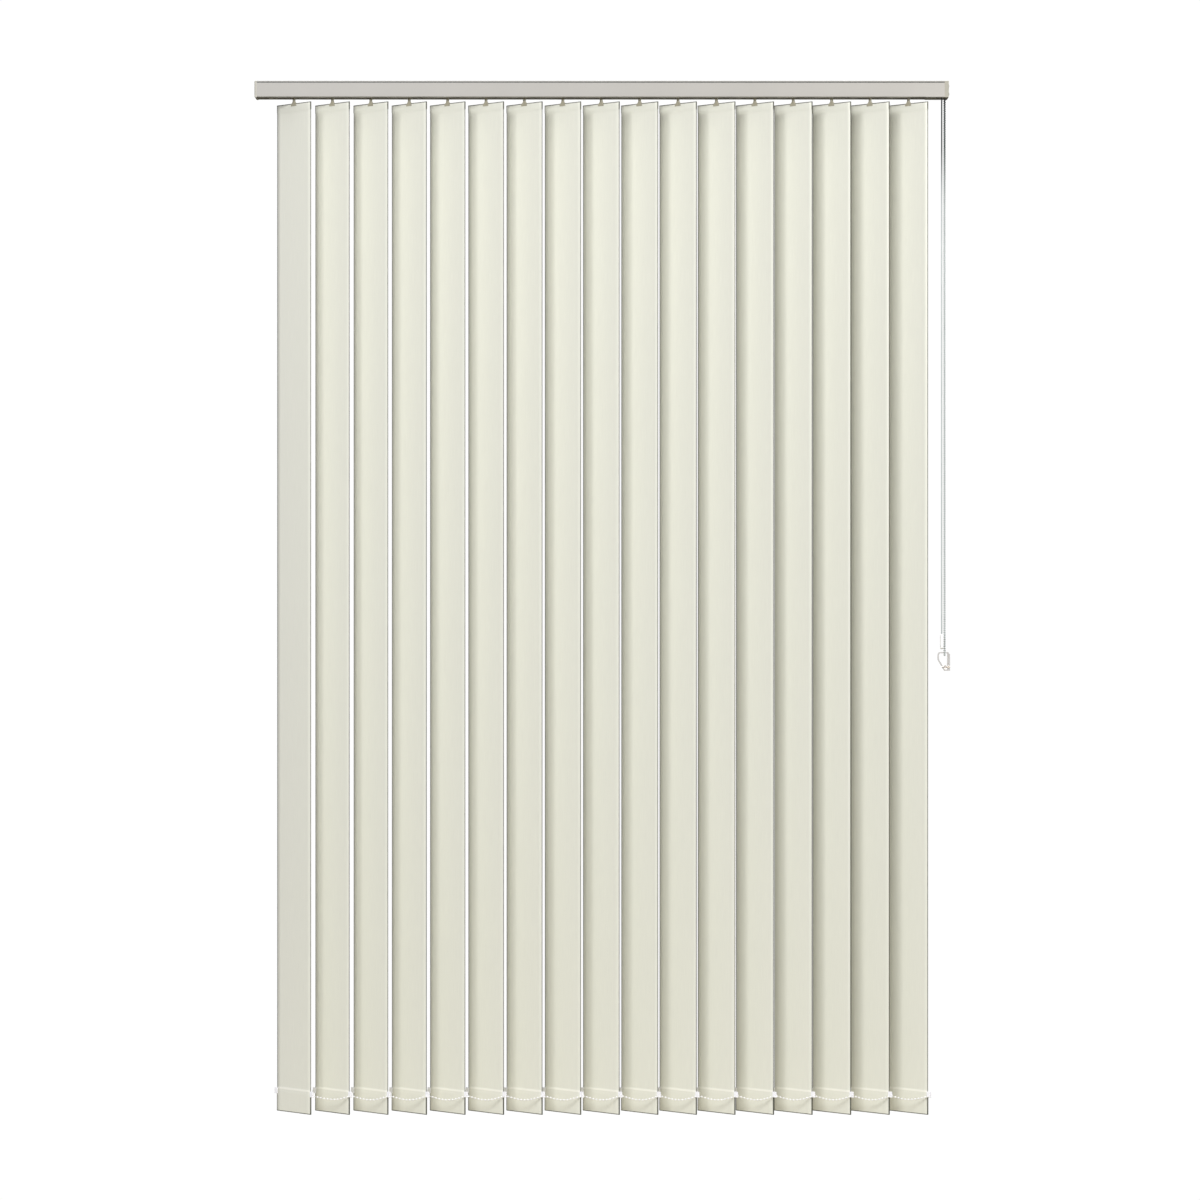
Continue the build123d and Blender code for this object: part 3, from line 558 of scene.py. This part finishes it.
def make_cloth(material):
    """One folded strip of cloth with its thickness, as wide as the slat."""
    path = cloth_path()
    build = bmesh.new()
    grid = []
    uv_rows = []
    run = 0.0
    for i, (v, z) in enumerate(path):
        before, after = path[max(i - 1, 0)], path[min(i + 1, len(path) - 1)]
        dv, dz = after[0] - before[0], after[1] - before[1]
        size = math.hypot(dv, dz)
        nv, nz = dz / size, -dv / size
        if i:
            run += math.dist(path[i - 1], path[i])
        row = []
        for side in (-0.5, 0.5):
            row.append([
                build.verts.new(on_slat(
                    SLAT_WIDTH * (c / CLOTH_COLUMNS - 0.5), v + nv * side * CLOTH, z + nz * side * CLOTH
                ))
                for c in range(CLOTH_COLUMNS + 1)
            ])
        grid.append(row)
        uv_rows.append(run * MM)
    uv = build.loops.layers.uv.new("UVMap")
    made = []
    for i in range(len(path) - 1):
        for c in range(CLOTH_COLUMNS):
            for s in (0, 1):
                corners = [(i, c), (i, c + 1), (i + 1, c + 1), (i + 1, c)]
                made.append((build.faces.new([grid[r][s][k] for r, k in corners]), corners))
        for c in (0, CLOTH_COLUMNS):
            corners = [(i, c), (i, c), (i + 1, c), (i + 1, c)]
            made.append((build.faces.new([
                grid[i][0][c], grid[i][1][c], grid[i + 1][1][c], grid[i + 1][0][c]]), corners))
    for i in (0, len(path) - 1):
        for c in range(CLOTH_COLUMNS):
            corners = [(i, c), (i, c + 1), (i, c + 1), (i, c)]
            made.append((build.faces.new([
                grid[i][0][c], grid[i][0][c + 1], grid[i][1][c + 1], grid[i][1][c]]), corners))
    for face, corners in made:
        for loop, (r, c) in zip(face.loops, corners):
            loop[uv].uv = (SLAT_WIDTH * c / CLOTH_COLUMNS * MM, uv_rows[r])
    cloth = make_object("cloth_master", build, material, slot="slat_fabric")
    return cloth, path_length(path) * MM


def make_stem(material):
    """Gear, round neck, and a hook that flares along the slat and grips its top edge."""
    build = bmesh.new()
    gear = []
    steps = 4 * GEAR_TEETH
    for z in (GEAR_TOP, GEAR_BOTTOM):
        ring = []
        for i in range(steps):
            radius = GEAR_TIP if i % 4 < 2 else GEAR_ROOT
            a = 2 * math.pi * i / steps
            ring.append(on_slat(radius * math.cos(a), radius * math.sin(a), z))
        gear.append(ring)
    rings_to_mesh(build, gear)
    flare = [
        superellipse(NECK_RADIUS, NECK_RADIUS, GEAR_BOTTOM, 2),
        superellipse(NECK_RADIUS, NECK_RADIUS, NECK_BOTTOM, 2),
        superellipse(NECK_RADIUS, 2.3, -32.0, 2.1), superellipse(3.0, 1.9, -33.8, 2.5),
        superellipse(4.1, 1.6, -35.4, 3.5), superellipse(5.0, 1.5, -36.4, 5),
        superellipse(5.2, 1.5, -36.75, 6),
    ]
    rings_to_mesh(build, flare)
    for side in (-1, 1):
        jaw = []
        for z, half in ((-36.7, 5.2), (-38.0, 6.1), (-39.4, 6.8), (-40.6, 7.0), (-41.3, 6.6), (-41.5, 6.0)):
            jaw.append([
                on_slat(-half, side * JAW_INSIDE, z), on_slat(half, side * JAW_INSIDE, z),
                on_slat(half, side * JAW_OUTSIDE, z), on_slat(-half, side * JAW_OUTSIDE, z),
            ])
        rings_to_mesh(build, jaw)
    return make_object("stem_master", build, material, smooth=False, slot="fittings")


def rounded_outline(width, height, radius, steps=4):
    """Outline of a rounded rectangle round the origin."""
    points = []
    for cx, cy, start in ((1, 1, 0), (-1, 1, 90), (-1, -1, 180), (1, -1, 270)):
        for step in range(steps + 1):
            a = math.radians(start + 90 * step / steps)
            points.append((cx * (width / 2 - radius) + radius * math.cos(a),
                           cy * (height / 2 - radius) + radius * math.sin(a)))
    return points


def make_strip(name, width, height, z, thickness, radius, material, slot):
    """A flat strip inside a slat's hem or pocket."""
    build = bmesh.new()
    outline = rounded_outline(width, height, radius)
    rings_to_mesh(build, [
        [on_slat(u, side * thickness / 2, z + w) for u, w in outline] for side in (-1, 1)
    ])
    return make_object(name, build, material, smooth=False, slot=slot)


def make_clip(side, material):
    """A clip that grips the pocket's corner, with a barrel that holds the chain."""
    build = bmesh.new()
    half = CLIP_THICKNESS / 2
    inner = CLIP_AXIS - CLIP_GRIP
    outline = [(inner, half - 0.5), (inner + 0.5, half)]
    for step in range(9):
        a = math.radians(90 - 180 * step / 8)
        outline.append((CLIP_AXIS + half * math.cos(a), half * math.sin(a)))
    outline += [(inner + 0.5, -half), (inner, -half + 0.5)]
    low, high = CLIP_Z - CLIP_HEIGHT / 2, CLIP_Z + CLIP_HEIGHT / 2
    rings_to_mesh(build, [
        [on_slat(side * u, v * s, z) for u, v in outline]
        for z, s in ((low, 0.72), (low + 0.6, 1.0), (high - 0.6, 1.0), (high, 0.72))
    ])
    ends = [CLIP_AXIS + half + 0.05, CLIP_AXIS - 2.2]
    for z in (-2.0, 2.0):
        collar = []
        for u, grow in ((ends[1], 0.0), (ends[1] + 0.4, 0.35), (ends[0] - 0.5, 0.35), (ends[0], 0.0)):
            collar.append([
                on_slat(side * u, v * (half + grow) / half * 0.98, SWAG_Z / MM + z + w)
                for v, w in ((-half, -0.7), (half, -0.7), (half, 0.7), (-half, 0.7))
            ])
        rings_to_mesh(build, collar)
    name = "clip_front_master" if side > 0 else "clip_back_master"
    return make_object(name, build, material, smooth=False, slot="link_chain")


def make_slats(cloth_look, fitting_look, clip_look, weight_look):
    """Seventeen slats from one set of pieces: cloth, stem, hanger, bottom weight and two clips."""
    cloth, cut_length = make_cloth(cloth_look)
    stem = add_bevel(make_stem(fitting_look), 0.25)
    hanger = make_strip("hanger_master", SLAT_WIDTH - 4, HEM - 1.2, SLAT_TOP - HEM / 2, 0.7, 1.5,
                        fitting_look, "fittings")
    weight = make_strip("weight_master", SLAT_WIDTH - 3, POCKET - 2.0, SLAT_BOTTOM + POCKET / 2, 1.0, 2.0,
                        weight_look, "cap")
    clips = {end: add_bevel(make_clip(side, clip_look), 0.2) for end, side in (("front", 1), ("back", -1))}
    for number, (slat, x) in enumerate(zip(slat_names, slat_x), start=1):
        body = body_with(slat)
        sheet = place_copy(cloth, f"cloth_{number:02d}", body, x)
        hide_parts(slat)
        pieces = [place_copy(stem, f"stem_{number:02d}", body, x)]
        pieces.append(place_copy(hanger, f"hanger_{number:02d}", body, x))
        pieces.append(place_copy(weight, f"weight_{number:02d}", body, x))
        for end, clip in clips.items():
            pieces.append(place_copy(clip, f"clip_{end}_{number:02d}", body, x))
    for master in (cloth, stem, hanger, weight, *clips.values()):
        bpy.data.objects.remove(master)


# ---------------------------------------------------------------- headrail

def corner(y, z, radius, start, steps=5):
    """A rounded corner in the rail's section, a quarter turn from a start angle."""
    return [
        (y + radius * math.cos(math.radians(start + 90 * k / steps)),
         z + radius * math.sin(math.radians(start + 90 * k / steps)))
        for k in range(steps + 1)
    ]


def rail_half(track):
    """Half of the rail's section from its slot, or from its open floor, up to the middle of the recess."""
    outer, inner = RAIL_DEPTH / 2, RAIL_DEPTH / 2 - RAIL_WALL
    groove = [
        (outer, -RAIL_GROOVE - GROOVE_HALF - 0.3), (outer - GROOVE_DEPTH, -RAIL_GROOVE - GROOVE_HALF),
        (outer - GROOVE_DEPTH, -RAIL_GROOVE + GROOVE_HALF), (outer, -RAIL_GROOVE + GROOVE_HALF),
    ]
    top = corner(outer - 0.4, -0.4, 0.4, 0)
    lip = [(RAIL_LIP, 0), (RAIL_LIP, -1.2), (inner, -1.2), (inner, -RAIL_RECESS)]
    if track:
        start = [(RAIL_SLOT / 2, RAIL_WALL - RAIL_HEIGHT), (RAIL_SLOT / 2, -RAIL_HEIGHT)]
        edge = corner(outer - RAIL_ROUND, -RAIL_HEIGHT + RAIL_ROUND, RAIL_ROUND, 270)
    else:
        start = [(inner, -RAIL_HEIGHT + 0.4)]
        edge = [(inner + 0.4, -RAIL_HEIGHT + 0.05)]
        edge += corner(outer - 0.8, -RAIL_HEIGHT + 0.8, 0.8, 270)
    under = [(inner, -RAIL_RECESS - RAIL_WALL)]
    if track:
        under.append((inner, RAIL_WALL - RAIL_HEIGHT))
    return start + edge + groove + top + lip, under


def make_rail(material):
    """The extruded rail: full section as far as the controls, and open below from there on."""
    build = bmesh.new()
    for x0, x1, track in ((RAIL_FROM, TRACK_TO, True), (TRACK_TO, RAIL_TO, False)):
        outside, inside = rail_half(track)
        loop = outside + [(-y, z) for y, z in reversed(outside)]
        loop += [(-y, z) for y, z in reversed(inside)] + inside
        rings_to_mesh(build, [[Vector((x, y, z)) * MM for y, z in loop] for x in (x0, x1)])
    rail = make_object("rail_extrusion", build, material, smooth=False, slot="rail")
    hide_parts("headrail")
    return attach(rail, body_with("headrail"))


# ---------------------------------------------------------------- cords and chains

def spline(name, points):
    """A smooth curve object through the middle of a few control points."""
    data = bpy.data.curves.new(name, "CURVE")
    data.dimensions = "3D"
    line = data.splines.new("NURBS")
    line.points.add(len(points) - 1)
    for place, point in zip(line.points, points):
        place.co = (*point, 1.0)
    line.order_u = 3
    line.use_endpoint_u = True
    data.resolution_u = 12
    made = bpy.data.objects.new(name, data)
    bpy.context.scene.collection.objects.link(made)
    return made


def route_points(points):
    """Points along the smooth line of a route."""
    made = spline("route", points)
    bpy.context.view_layer.update()
    mesh = bpy.data.meshes.new_from_object(made)
    found = [v.co.copy() for v in mesh.vertices]
    bpy.data.objects.remove(made)
    bpy.data.meshes.remove(mesh)
    return found


def evenly(points, step):
    """Places a step apart along a line, with the line's direction at each."""
    total = sum((b - a).length for a, b in zip(points, points[1:]))
    count = max(2, round(total / step))
    gap = total / count
    found, run, want = [], 0.0, gap / 2
    for a, b in zip(points, points[1:]):
        size = (b - a).length
        while want <= run + size and len(found) < count:
            found.append((a.lerp(b, (want - run) / size), (b - a).normalized()))
            want += gap
        run += size
    return found


def thread(build, points, radius, sides=6):
    """A thin tube along a line."""
    rings = []
    for i, point in enumerate(points):
        ahead = (points[min(i + 1, len(points) - 1)] - points[max(i - 1, 0)]).normalized()
        side = ahead.cross(Vector((0.3, 0.9, 0.2))).normalized()
        up = ahead.cross(side)
        rings.append([
            point + (side * math.cos(a) + up * math.sin(a)) * radius
            for a in (2 * math.pi * k / sides for k in range(sides))
        ])
    rings_to_mesh(build, rings)


def bead_shape(radius, across_count=10, down_count=6):
    """Points and faces of one round bead about the origin, with its holes along Z."""
    points = [(0.0, 0.0, -radius)]
    for row in range(1, down_count):
        a = math.pi * row / down_count
        for column in range(across_count):
            b = 2 * math.pi * column / across_count
            points.append((
                radius * math.sin(a) * math.cos(b), radius * math.sin(a) * math.sin(b), -radius * math.cos(a)
            ))
    points.append((0.0, 0.0, radius))
    faces = []
    last = len(points) - 1
    for column in range(across_count):
        following = (column + 1) % across_count
        faces.append((0, 1 + following, 1 + column))
        base = 1 + (down_count - 2) * across_count
        faces.append((last, base + column, base + following))
        for row in range(down_count - 2):
            low = 1 + row * across_count
            high = low + across_count
            faces.append((low + column, low + following, high + following, high + column))
    return [Vector(p) for p in points], faces


def make_bead_chain(name, points, step, diameter, material, slot):
    """Beads on a thread, along a line."""
    build = bmesh.new()
    thread(build, points, diameter * THREAD_SHARE)
    mesh = bpy.data.meshes.new(name)
    build.to_mesh(mesh)
    build.free()
    vertices = [v.co.copy() for v in mesh.vertices]
    faces = [tuple(face.vertices) for face in mesh.polygons]
    bead, bead_faces = bead_shape(diameter / 2)
    for place, ahead in evenly(points, step):
        turned = ahead.to_track_quat("Z", "Y")
        first = len(vertices)
        vertices += [place + turned @ point for point in bead]
        faces += [tuple(first + corner for corner in face) for face in bead_faces]
    mesh.clear_geometry()
    mesh.from_pydata(vertices, [], faces)
    mesh.materials.append(material)
    mesh.shade_smooth()
    made = bpy.data.objects.new(name, mesh)
    bpy.context.scene.collection.objects.link(made)
    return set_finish(made, slot)


def make_pull_cord(material):
    """Two strands from the rail down to the weight, joined in a loop there."""
    route = [
        (CORD_X, CORD_FRONT, CORD_TOP), (CORD_X, CORD_FRONT, -0.3), (CORD_X, CORD_FRONT, -0.6),
        (CORD_X, CORD_FRONT, CORD_LOOP + 0.002), (CORD_X, CORD_FRONT, CORD_LOOP - 0.0044),
        (CORD_X, CORD_BACK, CORD_LOOP - 0.0044), (CORD_X, CORD_BACK, CORD_LOOP + 0.002),
        (CORD_X, CORD_BACK, -0.6), (CORD_X, CORD_BACK, -0.3), (CORD_X, CORD_BACK, CORD_TOP),
    ]
    cord = spline("pull_cord_braid", route)
    cord.data.bevel_depth = CORD_DIAMETER / 2
    cord.data.bevel_resolution = 3
    cord.data.materials.append(material)
    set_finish(cord, "cord")
    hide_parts("pull_cord")
    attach(cord, body_with("pull_cord"))


def make_tilt_chain(material):
    """An endless chain from the sprocket down to the tidy."""
    high = CHAIN_TOP + CHAIN_TURN
    route = [
        (CHAIN_X, CHAIN_MIDDLE, high), (CHAIN_X, CHAIN_FRONT, high), (CHAIN_X, CHAIN_FRONT, CHAIN_TOP),
        (CHAIN_X, CHAIN_FRONT, -0.3), (CHAIN_X, CHAIN_FRONT, -0.6), (CHAIN_X, CHAIN_FRONT, CHAIN_LOOP),
        (CHAIN_X, CHAIN_FRONT, CHAIN_LOOP - CHAIN_TURN), (CHAIN_X, CHAIN_MIDDLE, CHAIN_LOOP - CHAIN_TURN),
        (CHAIN_X, CHAIN_BACK, CHAIN_LOOP - CHAIN_TURN), (CHAIN_X, CHAIN_BACK, CHAIN_LOOP),
        (CHAIN_X, CHAIN_BACK, -0.6), (CHAIN_X, CHAIN_BACK, -0.3), (CHAIN_X, CHAIN_BACK, CHAIN_TOP),
        (CHAIN_X, CHAIN_BACK, high), (CHAIN_X, CHAIN_MIDDLE + 0.0002, high),
    ]
    points = route_points(route)
    chain = make_bead_chain("tilt_chain_beads", points, CHAIN_PITCH, CHAIN_DIAMETER, material,
                            "control_chain")
    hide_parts("tilt_chain")
    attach(chain, body_with("tilt_chain"))


def make_bottom_chain(name, side, material):
    """Swags from clip to clip, which close up as the slats draw together."""
    axis = along * (side * CLIP_AXIS * MM)
    route = []
    for number, x in enumerate(slat_x):
        held = (x + axis.x, axis.y, SWAG_Z)
        route += [held] if number in (0, len(slat_x) - 1) else [held, held]
        if number < len(slat_x) - 1:
            route.append(((x + slat_x[number + 1]) / 2 + axis.x, axis.y, SWAG_Z - SWAG_SAG / 0.75))
    points = route_points(route)
    chain = make_bead_chain(f"{name}_beads", points, SWAG_PITCH, BEAD * MM, material, "link_chain")
    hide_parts(name)
    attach(chain, body_with(name))
    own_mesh(chain)


# ---------------------------------------------------------------- build

make_camera()
cord_look = braided("cord_braid")
chain_look = bead_plastic("control_bead")
link_look = moulded("link_bead", (242, 242, 244), 0.35, 0.1, 300)
make_pull_cord(cord_look)
make_tilt_chain(chain_look)
for name, side in (("bottom_chain_front", 1), ("bottom_chain_back", -1)):
    make_bottom_chain(name, side, link_look)

make_lights()
make_floor()

# the cloth's seam, and its folds where shade is painted, by their place along its length
seam_run = run_to(cloth_path(), SLAT_BOTTOM + POCKET)
folds = [("Y", HEM * MM, TOP_FOLD_SHADE_HALF), ("Y", seam_run + POCKET * MM, BOTTOM_FOLD_SHADE_HALF)]
# (94, 94, 85) is painted shade along the cloth's cut edges and folds
cloth_look = woven("slat_weave", (224, 224, 214), seam_run, (238, 237, 228), folds, (94, 94, 85))
fitting_look = moulded("fitting_plastic", (168, 163, 145), 0.4, 0.3, 120)
clip_look = moulded("clip_plastic", (246, 246, 252), 0.35, 0.2, 120)
white_look = moulded("white_plastic", (253, 253, 253), 0.4, 0.2, 120)
weight_look = moulded("weight_plastic", (222, 221, 212), 0.5, 0.3, 60)
make_slats(cloth_look, fitting_look, clip_look, weight_look)

node_looks = {
    # the rail's second colour is painted shade in its top groove
    "rail": rail_paint("rail_paint", (158, 155, 150), (66, 68, 64)),
    "cap": moulded("cap_plastic", (166, 163, 153), 0.45, 0.35, 60),
    "control": moulded("control_plastic", (146, 143, 132), 0.45, 0.35, 60),
    "fittings": fitting_look,
    "steel": moulded("zinc_steel", (186, 186, 184), 0.32, 0.4, 80, Metallic=0.9),
    "rod": moulded("rod_aluminium", (200, 200, 202), 0.3, 0.3, 50, Metallic=0.95),
    "cord": cord_look,
    "clear": clear_plastic("tidy_plastic", (255, 236, 214)),
}
slots = {part["node"]: part["material_slot"] for part in frame["record"]["subparts"]}
make_rail(node_looks["rail"])
for name, made in nodes.items():
    look = white_look if name == "cord_weight" else node_looks.get(slots[name])
    if look is not None:
        made.data.materials.clear()
        made.data.materials.append(look)
